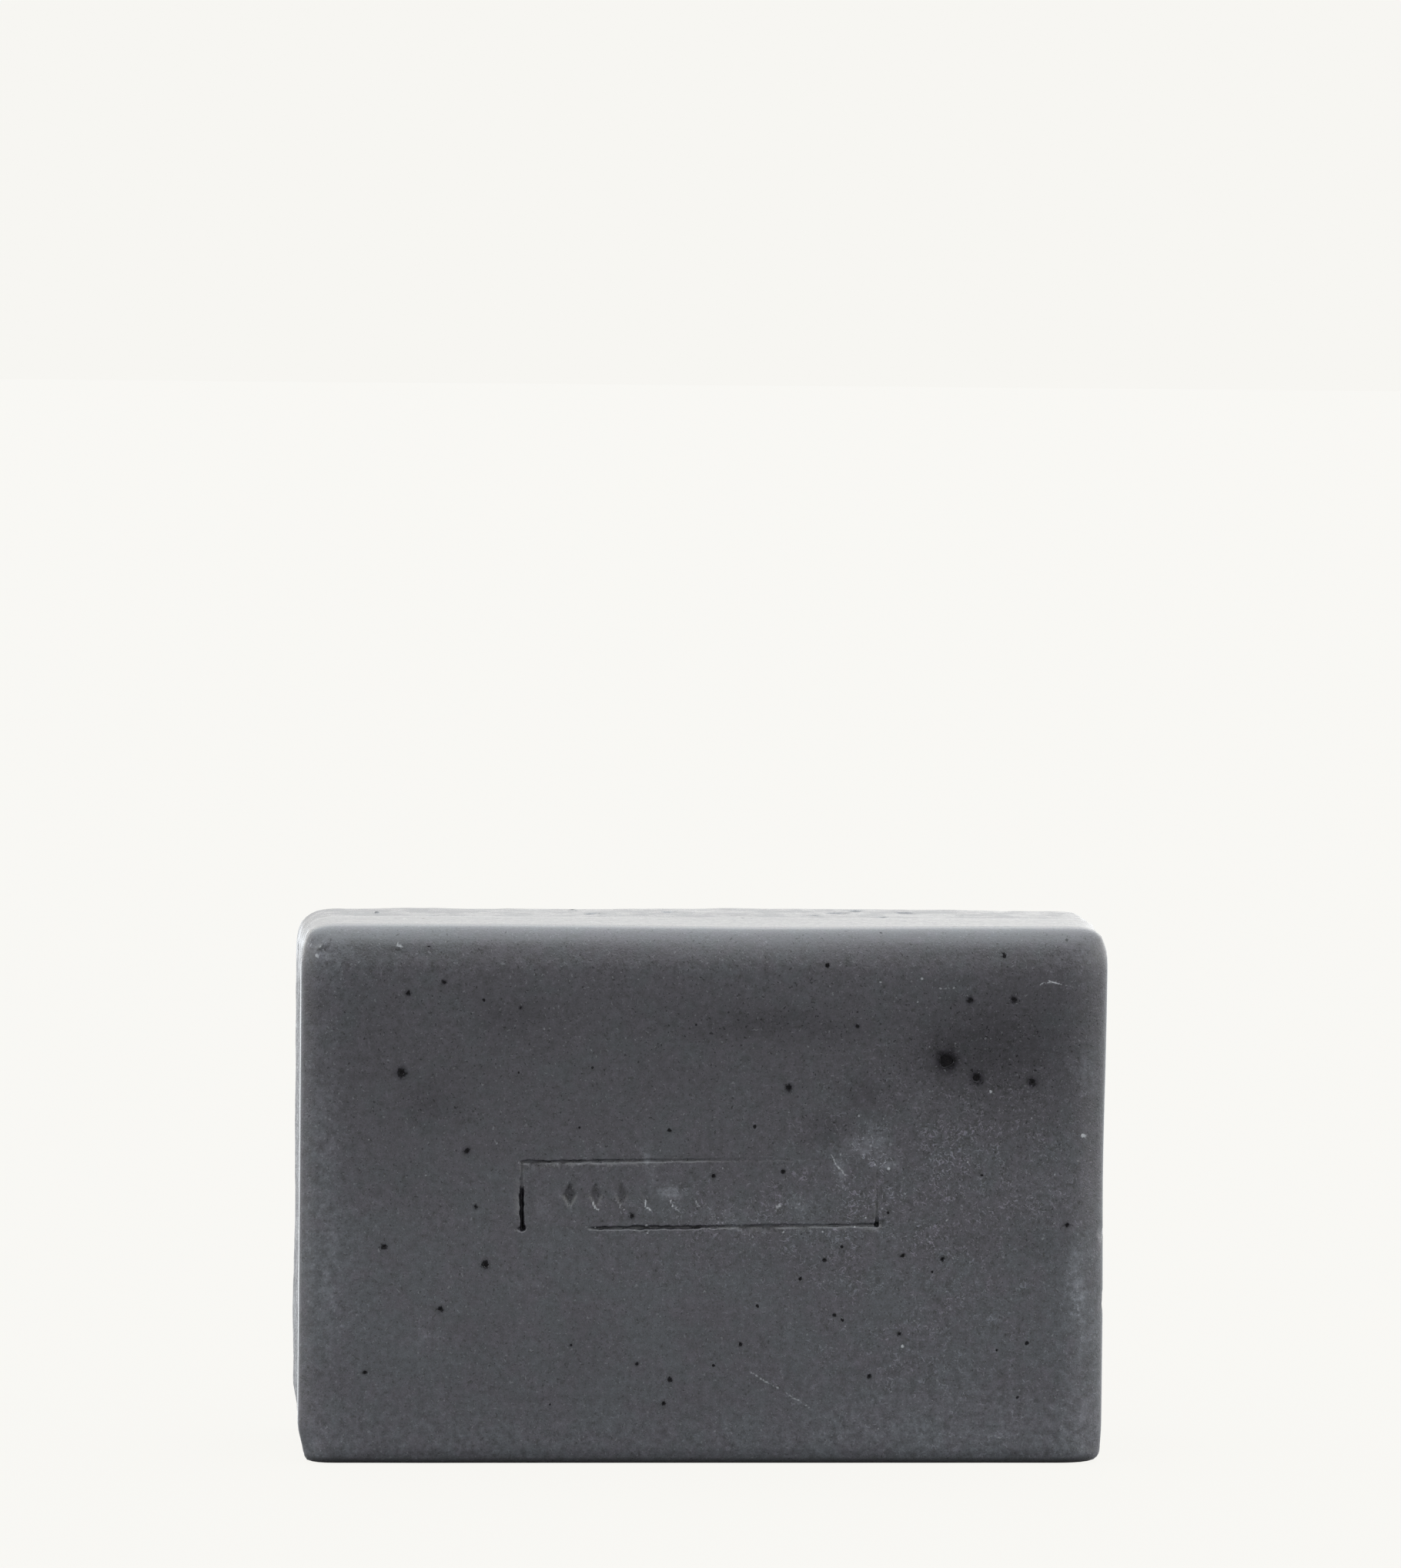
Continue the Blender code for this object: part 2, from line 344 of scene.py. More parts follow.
def wanted_cell(points, widths):
    """How wide the skin's cells should be at each point, where they now have those widths."""
    reach = CELL_REACH * widths
    cell = np.full(len(points), PLAIN_CELL)
    front = on_face(points, "front")
    places = front_places(points)
    own = stamp_places(places)
    to_border = abs(np.max(abs(own) - STAMP_HALF, axis=1))
    within = np.all(abs(own) < STAMP_HALF + BORDER_MARGIN, axis=1)
    cell[front & within & (to_border < BORDER_MARGIN)] = MARK_CELL
    row = (abs(own[:, 1]) < ROW_HALF_HEIGHT) & (own[:, 0] > ROW_ENDS[0]) & (own[:, 0] < ROW_ENDS[1])
    cell[front & row] = np.minimum(cell[front & row], SOFT_MARK_CELL)
    for face, middle, radius, _ in MOUTHS:
        away = grain_distance(points, face, middle)
        cell[on_face(points, face) & (away < GRAIN_REACH * radius + GRAIN_MARGIN)] = MARK_CELL
    for start, end, half_width, _ in SCRATCHES + NICKS:
        cell[front & (to_segment(places, start, end)[0] < half_width + reach)] = MARK_CELL
    for across, up, radius in [crumb[:3] for crumb in CRUMBS] + list(SPECKS):
        cell[front & (np.hypot(*(places - (across, up)).T) < radius + reach)] = MARK_CELL
    for middle, chip_reach, _ in CHIPS:
        near = np.linalg.norm(points - middle, axis=1) < CHIP_REACH * chip_reach
        cell[near] = np.minimum(cell[near], SOFT_MARK_CELL)
    return cell


def refine(bm):
    """Splits the cells that are wider than wanted_cell asks for."""
    for _ in range(REFINE_ROUNDS):
        bm.faces.ensure_lookup_table()
        middles = np.array([face.calc_center_median() for face in bm.faces])
        widths = np.sqrt([face.calc_area() for face in bm.faces])
        wide = np.flatnonzero(widths > SPLIT_OVER * wanted_cell(middles, widths))
        edges = {edge for number in wide for edge in bm.faces[number].edges}
        bmesh.ops.subdivide_edges(bm, edges=list(edges), cuts=1, use_grid_fill=True)


# Soft spots of the front face, each as (across, up, reach across, reach up, strength). Shaded ones are
# darker, hazed ones have a pale bloom, or are painted light along the sides, at the top corners and low on
# the right, and cracked ones are where the face is worn and covered in fine curls.
SHADED = (
    (33.0, 17.0, 8.5, 6.5, 0.9),
    (26.0, 15.8, 3.2, 2.6, 0.5),
    (8.0, 19.3, 11.0, 1.8, 0.5),
    (-22.0, 20.3, 4.5, 2.5, 0.35),
    (-30.4, 10.3, 4.2, 2.8, 0.5),
    (17.0, 11.3, 3.0, 2.0, 0.5),
    (13.5, 7.5, 2.5, 1.6, 0.6),
    (-25.0, -16.5, 3.5, 7.0, 0.4),
    (-13.3, -16.5, 4.5, 5.5, 0.4),
    (1.0, -15.0, 4.0, 3.0, 0.3),
    (37.0, -5.0, 4.0, 2.6, 0.5),
    (28.5, -5.5, 3.2, 2.2, 0.4),
    (9.5, -7.0, 5.5, 2.0, 0.3),
    (-32.5, 1.5, 5.0, 3.0, 0.25),
)
HAZED_AND_LIT = (
    (18.6, 6.4, 2.3, 1.5, 0.8),
    (20.4, 4.0, 1.4, 1.2, 1.0),
    (16.4, 5.2, 2.0, 1.2, 0.6),
    (14.8, 3.0, 0.8, 1.6, 1.0),
    (-3.9, 0.8, 2.2, 0.8, 1.1),
    (-6.5, 3.6, 0.6, 2.3, 1.0),
    (-17.8, -0.6, 0.9, 2.4, 0.6),
    (2.2, -2.2, 3.2, 1.6, 0.5),
    (10.3, -0.9, 1.1, 0.6, 1.1),
    (-31.7, -16.0, 2.2, 2.0, 0.4),
    (24.0, 11.0, 1.4, 2.2, 0.4),
    (27.0, -24.0, 18.0, 5.5, 0.3),
    (37.5, 1.5, 4.5, 3.0, 0.4),
    (-41.0, -9.0, 4.0, 12.0, 0.3),
    (43.0, -14.0, 3.0, 18.0, 0.4),
    (-43.3, 6.0, 3.0, 24.0, 0.5),
    (42.3, 14.5, 2.5, 3.5, 0.6),
    (-42.5, 27.5, 3.0, 2.5, 0.6),
    (42.5, 27.5, 3.0, 2.5, 0.6),
    (41.8, -11.0, 1.1, 5.0, 0.7),
    (-20.0, -9.5, 2.2, 1.0, 0.35),
    (-16.5, 11.5, 2.5, 1.5, 0.2),
)
CRACKED = (
    (22.0, 1.0, 17.0, 9.0, 1.0),
    (30.0, 9.0, 13.0, 14.0, 0.6),
    (26.0, -16.0, 16.0, 10.0, 0.6),
    (0.0, -3.0, 12.0, 5.0, 0.5),
)
# Pale scratches on the front face: (start, end, half width, strength)
SCRATCHES = (
    ((4.6, -19.2), (11.8, -23.5), 0.22, 0.5),
    ((-10.6, -8.1), (-8.7, -13.0), 0.16, 0.2),
    ((-21.9, -3.7), (-20.8, -9.3), 0.25, 0.1),
    ((36.0, 24.1), (38.6, 24.2), 0.18, 0.5),
    ((38.0, 24.5), (39.6, 24.0), 0.16, 0.9),
    ((39.6, 24.0), (42.2, 23.4), 0.18, 0.5),
    ((25.8, 23.6), (27.6, 23.7), 0.16, 0.5),
    ((14.0, 4.8), (14.6, 3.6), 0.14, 0.7),
    ((14.6, 3.6), (15.8, 2.4), 0.2, 0.6),
    ((15.8, 2.4), (15.2, 1.5), 0.2, 0.6),
    ((41.7, -2.9), (41.8, -5.6), 0.14, 0.35),
    ((41.9, -9.2), (42.0, -14.2), 0.22, 0.4),
    ((39.9, -6.2), (41.4, -6.3), 0.14, 0.3),
    ((40.3, 4.6), (41.6, 4.3), 0.12, 0.7),
    ((-43.4, -24.6), (-42.1, -24.1), 0.12, 0.5),
    ((31.0, -26.7), (35.0, -27.0), 0.2, 0.35),
)
# Dark nicks, written like the scratches
NICKS = (
    ((-33.4, 29.2), (-31.9, 28.3), 0.2, 0.6),
    ((-31.9, 28.3), (-30.7, 27.8), 0.28, 0.65),
    ((40.0, -3.0), (41.0, -2.9), 0.25, 0.6),
    ((-18.4, -23.3), (-17.9, -22.4), 0.25, 0.45),
)
# Specks of charcoal too small to be pieces of their own: (across, up, radius)
SPECKS = (
    (-25.0, 22.1, 0.26), (-14.2, 7.9, 0.24), (-4.2, 7.6, 0.28), (5.3, 8.0, 0.26), (33.1, 27.2, 0.28),
    (-1.3, 19.4, 0.24), (10.7, -9.0, 0.26), (5.9, -12.1, 0.26), (1.1, -18.8, 0.22), (32.8, -17.0, 0.24),
    (36.2, -16.3, 0.24), (15.4, -13.7, 0.3), (35.2, -22.3, 0.24), (15.3, -5.4, 0.22), (-17.2, -23.2, 0.22),
    (-12.8, 14.6, 0.2), (30.9, 2.6, 0.22), (-21.0, 14.0, 0.2), (25.4, -8.3, 0.24), (20.4, -1.6, 0.2),
)
# Pale crumbs pressed into the front face: (across, up, radius, strength)
CRUMBS = (
    (-34.6, 28.0, 0.26, 1.0), (-34.1, 27.9, 0.24, 0.9), (-9.6, 28.1, 0.3, 0.4), (19.3, 24.3, 0.3, 0.5),
    (23.9, 24.7, 0.3, 0.6), (-15.3, 27.0, 0.15, 0.5), (-25.0, 27.5, 0.15, 0.5), (-7.8, 25.8, 0.15, 0.5),
    (31.7, 12.0, 0.3, 0.7), (42.2, 7.0, 0.35, 1.0), (-0.1, -10.4, 0.45, 0.35), (22.2, -16.6, 0.28, 1.0),
    (2.0, 3.3, 0.36, 0.4), (20.4, 3.4, 0.3, 0.7), (18.8, 3.8, 0.2, 0.8), (15.0, 4.9, 0.2, 0.7),
    (11.0, -0.6, 0.22, 0.5), (10.1, -1.0, 0.26, 0.4), (17.9, -2.2, 0.16, 0.9), (16.7, -3.2, 0.16, 0.9),
    (13.1, -3.7, 0.2, 0.7), (8.7, -3.8, 0.25, 0.6), (-1.9, -2.6, 0.2, 0.6), (-12.3, -3.3, 0.2, 0.8),
    (-6.6, -3.1, 0.3, 0.7), (-6.5, -3.9, 0.25, 0.5), (-10.5, -3.9, 0.25, 0.4), (29.3, 4.1, 0.2, 0.6),
    (33.6, -4.2, 0.2, 0.6), (27.0, -2.4, 0.25, 0.6), (-43.9, 28.8, 0.7, 0.7), (-43.2, 27.9, 0.4, 0.5),
    (-43.5, 26.9, 0.35, 0.7), (-44.3, 28.0, 0.5, 0.7),
)
# Chips out of the edges: (middle, reach, depth)
CHIPS = (
    ((-44.6, -12.5, 59.4), 1.0, 0.35),
    ((-43.6, -14.2, 58.3), 0.7, 0.25),
    ((-44.9, -11.5, 56.9), 0.8, 0.2),
    ((44.9, -11.8, 37.0), 0.8, 0.12),
    ((44.6, -13.0, 26.0), 1.0, 0.12),
    ((44.8, -12.0, 18.0), 1.6, 0.12),
    ((-30.0, 2.0, 60.0), 0.9, 0.15),
    ((13.0, 3.0, 60.0), 0.8, 0.25),
    ((16.0, 6.5, 60.0), 1.1, 0.25),
    ((18.5, 9.0, 60.0), 0.9, 0.3),
    ((21.0, 2.0, 60.0), 0.8, 0.25),
    ((24.0, 8.0, 60.0), 1.0, 0.3),
    ((36.0, 12.0, 60.0), 0.9, 0.25),
    ((-12.0, 5.0, 60.0), 0.9, 0.2),
    ((-3.0, 7.0, 60.0), 1.0, 0.2),
    ((-44.9, 7.0, 55.5), 1.2, 0.2),
    ((-44.9, 13.5, 30.0), 1.3, 0.25),
    ((44.9, 9.0, 12.0), 1.6, 0.3),
    ((44.0, 14.0, 47.0), 1.4, 0.3),
    ((6.0, 14.6, 1.0), 1.8, 0.3),
    ((-41.0, 14.6, 3.0), 1.6, 0.35),
)
# Where the smooth front of the sides meets their torn back, from the middle, and how much further forward it
# lies on the left side. It takes SEAM_WIDTH to change from the one to the other.
SEAM = 0.6
SEAM_FORWARD_AT_LEFT = 9
SEAM_WIDTH = 0.5

# Painted shade and light over the whole front face: darker towards the top, lighter again at the top strip,
# and lighter low on the face and at its foot. Each is (strength, the places up from the middle between which
# it comes in)
UPPER_PAINTED_SHADE = (0.9, (-14, 20))
TOP_LIGHTER = (0.5, (22, 28))
LOWER_PAINTED_LIGHT = (0.12, (-4, 26))
FOOT_PAINTED_LIGHT = (0.35, (20, 28))
# Painted contact shadow at the bar's foot: (strength, the heights above the floor between which it comes in)
FOOT_PAINTED_SHADOW = (0.8, (1.0, 0.2))
# The heights between which the speckle of the torn left side comes in
SPECKLE_HEIGHTS = (57, 50)
# How directly a face has to look along an axis to belong to the front, to a side or to the top
FRONT_FACING = (0.2, 0.8)
SIDE_FACING = (0.3, 0.9)
ROUND_SIDE_FACING = (0.55, 0.9)

# How far the block's outline, seen from the front, lies outside a straight one. Hollows and swells are
# (how far out, its middle, its reach), and slopes are (how far out, (where it starts, where it is full)).
OUTLINE_BEHIND = (-4, 4)
RIGHT_HOLLOW = (-0.2, 33, 12)
LEFT_LIP = (0.22, (-8, -11))
LEFT_REAR_SWELL = (0.15, 14, 5)
LEFT_REAR_TUCK = (-0.2, (5.8, 3.6))
FOOT_TUCK = (4.4, 1.0)
LEFT_FOOT_IN = 0.6
RIGHT_FOOT_IN = 0.15
TOP_FRONT = (2, -3)
TOP_FRONT_OUT = 0.28
TOP_FRONT_HOLLOW = (-0.2, 6, 16)
TOP_REAR_SWELL = (0.2, 7, 13)
TOP_REAR_LEFT_SLOPE = (-0.15, (-33, -40))
# A chip is even over this share of its reach
CHIP_FLOOR = 0.55

# How calm the smooth sides are, how far in the torn parts lie, and how proud a pale mark stands
SMOOTH_CALM = 0.85
TORN_IN = 0.04
PALE_PROUD = 0.03
# The skin is level round a grain up to the first of these, and as uneven as elsewhere from the second on.
# They are in radii of the grain, and so are the width, the raggedness and the depth of its mouth.
LEVEL_ROUND_GRAIN = (1.2, 1.8)
MOUTH_WIDTH = 0.5
MOUTH_RAGGED = 0.35
MOUTH_RAGGED_SEED = 26
MOUTH_DEPTH = 0.5
MOUTH_FLOOR = 0.7
# The stain round a grain. It reaches out STAIN_REACH radii and STAIN_MARGIN more, and its outline is bent by
# the mouth's own noise and by a wider one. A grain that shows fully has its full strength.
STAIN_REACH = 2
STAIN_MARGIN = 0.15
STAIN_BENT = 0.06
STAIN_BENT_PER_RADIUS = 0.16
STAIN_RAGGED = 0.15
STAIN_RAGGED_SEED = 27
HIDDEN_GRAIN_STAIN = 0.65
SHOWN_GRAIN_STAIN = 0.35
# How far the drifts bend marks out of line: the tones, scratches, nicks and the painted highlights at the
# lozenges' feet in millimetres, and the crumbs and specks in their own radii
TONE_BENT = 0.9
SCRATCH_BENT = 0.2
NICK_BENT = 0.12
FOOT_BENT = 0.08
CRUMB_BENT = 0.3
SPECK_BENT = 0.35
# How much of a nick's half width is its even middle, and how a speck darkens the soap
NICK_FLOOR = 0.2
SPECK_STRENGTH = 0.95
SPECK_FADE = (0.3, 1.3)
# Where the noise that breaks up the scratches leaves gaps in them, and lets them show fully
GAP_LIMITS = (-0.5, 0.1)
# How bright the painted highlights at the lozenges' feet are: the usual, and how much that varies from one to
# the next
FOOT_BRIGHT = 0.8
FOOT_VARIES = 0.2
FOOT_TURN = 2.3
FOOT_INSET = 0.1
# The most that a mask may reach where spots overlap
MOST_SHADED = 2
MOST_HAZED_AND_LIT = 1.5


def spots(places, marks):
    """Soft spots added together at each place."""
    total = np.zeros(len(places))
    for across, up, wide, tall, strength in marks:
        away = ((places[:, 0] - across) / wide) ** 2 + ((places[:, 1] - up) / tall) ** 2
        total += strength * np.exp(-away)
    return total


def pale_marks_and_glints(points, places):
    """Where scratches and crumbs leave the front face pale, and where the lozenges' feet get a painted
    highlight.
    """
    drift = drifting(points, *MARK_DRIFT)
    gaps = ramp(uneven(points, *SCRATCH_GAPS), *GAP_LIMITS)
    pale = np.zeros(len(points))
    for start, end, half_width, strength in SCRATCHES:
        away, _ = to_segment(places + SCRATCH_BENT * drift, start, end)
        pale = np.maximum(pale, strength * gaps * fading(away, half_width))
    for across, up, radius, strength in CRUMBS:
        away = np.hypot(*(places + CRUMB_BENT * radius * drift - (across, up)).T)
        pale = np.maximum(pale, strength * fading(away, radius))
    own = stamp_places(places) + FOOT_BENT * drift
    # Painted highlights: pale hooks at the feet of the lozenges
    for number in LOZENGES_WITH_GLINTING_FEET:
        middle = LOZENGE_FIRST + number * LOZENGE_PITCH
        foot = np.array((middle + FOOT_INSET, -LOZENGE_HALF[1] + FOOT_INSET))
        first, bend, last = foot + FOOT_HOOK
        away = np.minimum(to_segment(own, first, bend)[0], to_segment(own, bend, last)[0])
        bright = FOOT_BRIGHT + FOOT_VARIES * math.sin(FOOT_TURN * number)
        pale = np.maximum(pale, bright * (1 - ramp(away, *FOOT_FADE)))
    return pale


def stains(points, places, front):
    """Where charcoal darkens the skin: round the grains, at specks and along nicks."""
    drift = drifting(points, *TONE_DRIFT)
    stained = np.zeros(len(points))
    for face, middle, radius, share in MOUTHS:
        near = near_grain(points, face, middle, STAIN_REACH * radius + 1)
        away = grain_distance(points[near], face, middle)
        bent = STAIN_BENT + STAIN_BENT_PER_RADIUS * radius
        away += bent * mouth_cloud(points[near], radius)
        away += STAIN_RAGGED * radius * cloud(points[near], 0.9 * radius + 0.3, STAIN_RAGGED_SEED)
        strongest = HIDDEN_GRAIN_STAIN + SHOWN_GRAIN_STAIN * share
        strength = strongest * np.clip(1 - away / (STAIN_REACH * radius + STAIN_MARGIN), 0, 1)
        stained[near] = np.maximum(stained[near], strength)
    for start, end, half_width, strength in NICKS:
        away, _ = to_segment(places + NICK_BENT * drift, start, end)
        stained = np.maximum(stained, front * strength * fading(away, half_width, NICK_FLOOR))
    ragged = uneven(points, *SPECK_RAGGED)
    for across, up, radius in SPECKS:
        away = np.hypot(*(places + SPECK_BENT * radius * drift - (across, up)).T) / radius + ragged
        stained = np.maximum(stained, front * SPECK_STRENGTH * (1 - ramp(away, *SPECK_FADE)))
    return stained


def mouth_cloud(points, radius):
    """Smooth noise that makes the mouth of a grain of that radius ragged."""
    return cloud(points, 0.25 + 0.25 * radius, MOUTH_RAGGED_SEED)


def slope(value, strength, limits):
    return strength * ramp(value, *limits)


def skin_masks(points, normals):
    """Where the skin has darker patches and painted shade, bloom and painted light, cracks, pale scratches
    and painted glints, stains, painted shade in the stamp and at the foot, and where it is smooth or torn.
    """
    front = ramp(-normals[:, 1], *FRONT_FACING)
    places = front_places(points)
    up = places[:, 1]
    height = points[:, 2]
    drifted = places + TONE_BENT * drifting(points, *TONE_DRIFT)
    side = ramp(1 - abs(normals[:, 1]), *ROUND_SIDE_FACING)
    left = ramp(-normals[:, 0], *SIDE_FACING)
    seam = SEAM + uneven(points, *SEAM_SWELL) + uneven(points, *SEAM_RIPPLE) - SEAM_FORWARD_AT_LEFT * left
    behind = ramp(points[:, 1] - seam, -SEAM_WIDTH / 2, SEAM_WIDTH / 2)
    # Painted shade grows towards the top and eases at the top strip; painted light grows low on the face and
    # at the foot
    shade = spots(drifted, SHADED) + slope(up, *UPPER_PAINTED_SHADE) - slope(up, *TOP_LIGHTER)
    haze_and_light = spots(drifted, HAZED_AND_LIT) + slope(-up, *LOWER_PAINTED_LIGHT) + slope(-up, *FOOT_PAINTED_LIGHT)
    # Painted shade in the stamp's lines and lozenges, with painted contact shadow at the foot added below
    painted_shade = front * stamp_depth(places, points) / (DARK_FROM_DEPTH * LINE_DEPTH)
    return {
        "shaded": np.clip(front * shade, 0, MOST_SHADED),
        "hazed_and_lit": np.clip(front * haze_and_light, 0, MOST_HAZED_AND_LIT),
        "cracked": np.clip(front * spots(drifted, CRACKED), 0, 1),
        "scratched_and_glinting": front * pale_marks_and_glints(points, places),
        "stained": stains(points, places, front),
        "painted_shade": np.clip(painted_shade + slope(height, *FOOT_PAINTED_SHADOW), 0, 1),
        "polished": side * (1 - behind),
        "torn": side * behind,
        "speckled": side * behind * left * ramp(height, *SPECKLE_HEIGHTS),
    }


def bulge(value, out, middle, reach):
    return out * swell(value, middle, reach)


def worn_outline(points, normals):
    """How far the block's outline, seen from the front, has moved out from a straight one."""
    left, right = ramp(-normals[:, 0], *SIDE_FACING), ramp(normals[:, 0], *SIDE_FACING)
    x, y, z = points.T
    behind = ramp(y, *OUTLINE_BEHIND)
    height = right * bulge(z, *RIGHT_HOLLOW) + left * slope(y, *LEFT_LIP)
    height += left * behind * bulge(z, *LEFT_REAR_SWELL)
    height += left * behind * slope(z, *LEFT_REAR_TUCK)
    height -= (LEFT_FOOT_IN * left + RIGHT_FOOT_IN * right) * ramp(z, *FOOT_TUCK)
    upper = ramp(normals[:, 2], *SIDE_FACING)
    height += upper * ramp(y, *TOP_FRONT) * (TOP_FRONT_OUT + bulge(x, *TOP_FRONT_HOLLOW))
    height += upper * behind * (bulge(x, *TOP_REAR_SWELL) + slope(x, *TOP_REAR_LEFT_SLOPE))
    ragged = 1 + uneven(points, *CHIP_RAGGED)
    for middle, reach, depth in CHIPS:
        away = np.linalg.norm(points - middle, axis=1) / (reach * ragged)
        height -= depth * fading(away, 1, CHIP_FLOOR)
    return height


def skin_height(points, normals, masks):
    """How far the skin lies outside the rounded block at each point."""
    calm = 1 - SMOOTH_CALM * masks["polished"]
    height = calm * (uneven(points, *FACE_SWELL) + uneven(points, *FACE_RIPPLE))
    height += worn_outline(points, normals)
    height += masks["torn"] * (uneven(points, *TORN_SWELL) + uneven(points, *TORN_RIPPLE) - TORN_IN)
    height += PALE_PROUD * masks["scratched_and_glinting"]
    height -= on_face(points, "front") * stamp_depth(front_places(points), points)
    for face, middle, radius, share in MOUTHS:
        near = near_grain(points, face, middle, 2 * radius)
        away = grain_distance(points[near], face, middle)
        start, end = (radius * part for part in LEVEL_ROUND_GRAIN)
        height[near] += np.clip(-height[near], 0, 1) * (1 - ramp(away, start, end))
        mouth = share * radius * (MOUTH_WIDTH + MOUTH_RAGGED * mouth_cloud(points[near], radius))
        height[near] -= MOUTH_DEPTH * radius * fading(away, mouth, MOUTH_FLOOR)
    return height


def build_skin():
    points, quads = skin_grid()
    mesh = bpy.data.meshes.new("soap_skin")
    mesh.from_pydata(points, [], quads)
    bm = bmesh.new()
    bm.from_mesh(mesh)
    bmesh.ops.recalc_face_normals(bm, faces=bm.faces)
    refine(bm)
    bm.to_mesh(mesh)
    bm.free()
    flat = np.empty(len(mesh.vertices) * 3, np.float32)
    mesh.vertices.foreach_get("co", flat)
    points, normals = rounded(flat.reshape(-1, 3).astype(float))
    masks = skin_masks(points, normals)
    points += normals * skin_height(points, normals, masks)[:, None]
    mesh.vertices.foreach_set("co", (points * MM).astype(np.float32).ravel())
    mesh.shade_smooth()
    for name, values in masks.items():
        mesh.attributes.new(name, "FLOAT", "POINT").data.foreach_set("value", values.astype(np.float32))
    skin = bpy.data.objects.new("soap_skin", mesh)
    bpy.context.scene.collection.objects.link(skin)
    return skin


# The floor, in metres: how far it reaches, and how far it lies under the bar so that the two never touch
FLOOR_REACH = 4.0
FLOOR_DROP = 0.00003
# The camera sees the floor and the room as this one pale tone. Of the floor, this share of it.
BACKDROP = (0.930, 0.921, 0.888)
FLOOR_GLOW_SHARE = 0.98
FLOOR_PAINT = (0.36, 0.36, 0.365, 1)

# How bright the room is in each direction. Each pair says between which values of the direction's X, Y or Z
# that part of the room comes in.
ROOM_IN_FRONT = 0.34
ROOM_BEHIND = 1.24
ROOM_OVERHEAD = 5.45
ROOM_STRAIGHT_UP = 0.8
ROOM_LEFT = 3.3
ROOM_RIGHT = 3.6
BEHIND_ALONG_Y = (-0.9, 0.3)
OVERHEAD_ALONG_Z = (0.1, 1.0)
STRAIGHT_UP_ALONG_Z = (0.8, 1.0)
LEFT_ALONG_X = (-0.15, -0.8)
RIGHT_ALONG_X = (0.0, 0.9)
LEVEL_TINT = (1.0, 1.0, 0.985, 1)
OVERHEAD_TINT = (0.95, 1.0, 1.03, 1)


def build_floor():
    corners = [(-1, -1), (1, -1), (1, 1), (-1, 1)]
    mesh = bpy.data.meshes.new("studio_floor")
    mesh.from_pydata([(x * FLOOR_REACH, y * FLOOR_REACH, 0) for x, y in corners], [], [(0, 1, 2, 3)])
    floor = bpy.data.objects.new("studio_floor", mesh)
    bpy.context.scene.collection.objects.link(floor)
    floor.location.z = -FLOOR_DROP
    return floor


def add(tree, kind, inputs=None, **settings):
    """A new node, its settings and its inputs. An input is a number, a colour or another node's output."""
    node = tree.nodes.new(kind)
    for name, value in settings.items():
        setattr(node, name, value)
    for key, value in (inputs or {}).items():
        if isinstance(value, bpy.types.NodeSocket):
            tree.links.new(value, node.inputs[key])
        else:
            node.inputs[key].default_value = value
    return node


def floor_material():
    material = bpy.data.materials.new("studio_white")
    material.use_nodes = True
    tree = material.node_tree
    tree.nodes.clear()
    seen = add(tree, "ShaderNodeLightPath").outputs["Is Camera Ray"]
    share = add(tree, "ShaderNodeMath", {0: seen, 1: FLOOR_GLOW_SHARE}, operation="MULTIPLY").outputs[0]
    paint = add(tree, "ShaderNodeBsdfDiffuse", {"Color": FLOOR_PAINT}).outputs[0]
    glow = add(tree, "ShaderNodeEmission", {"Color": (*BACKDROP, 1), "Strength": 1.0}).outputs[0]
    mixed = add(tree, "ShaderNodeMixShader", {0: share, 1: paint, 2: glow}).outputs[0]
    add(tree, "ShaderNodeOutputMaterial", {"Surface": mixed})
    return material


class Value:
    """A node's output that arithmetic can be written with."""

    def __init__(self, tree, socket):
        self.tree = tree
        self.socket = socket

    def math(self, operation, *others):
        inputs = {number: plain(value) for number, value in enumerate((self, *others))}
        node = add(self.tree, "ShaderNodeMath", inputs, operation=operation)
        return Value(self.tree, node.outputs[0])

    def __add__(self, other):
        return self.math("ADD", other)

    def __sub__(self, other):
        return self.math("SUBTRACT", other)

    def __mul__(self, other):
        return self.math("MULTIPLY", other)

    def most(self, other):
        return self.math("MAXIMUM", other)

    def invert(self):
        return self.line(-1, 1)

    def line(self, rise, start):
        return self * rise + start

    def ramp(self, start, end):
        """0 up to start, 1 from end on, and smooth between them."""
        inputs = {"Value": self.socket, "From Min": plain(start), "From Max": plain(end)}
        node = add(self.tree, "ShaderNodeMapRange", inputs, interpolation_type="SMOOTHSTEP")
        return Value(self.tree, node.outputs[0])


def plain(value):
    return value.socket if isinstance(value, Value) else value


# How wide the waves are that bend scattered spots out of round
WARP_SIZE = 0.3
# The smallest scattered spot and the faintest one, as shares of the largest and the strongest, and how much
# of a spot is its even middle
SMALLEST_SPOT = 0.3
FAINTEST_SPOT = 0.4
SPOT_MIDDLE = 0.4


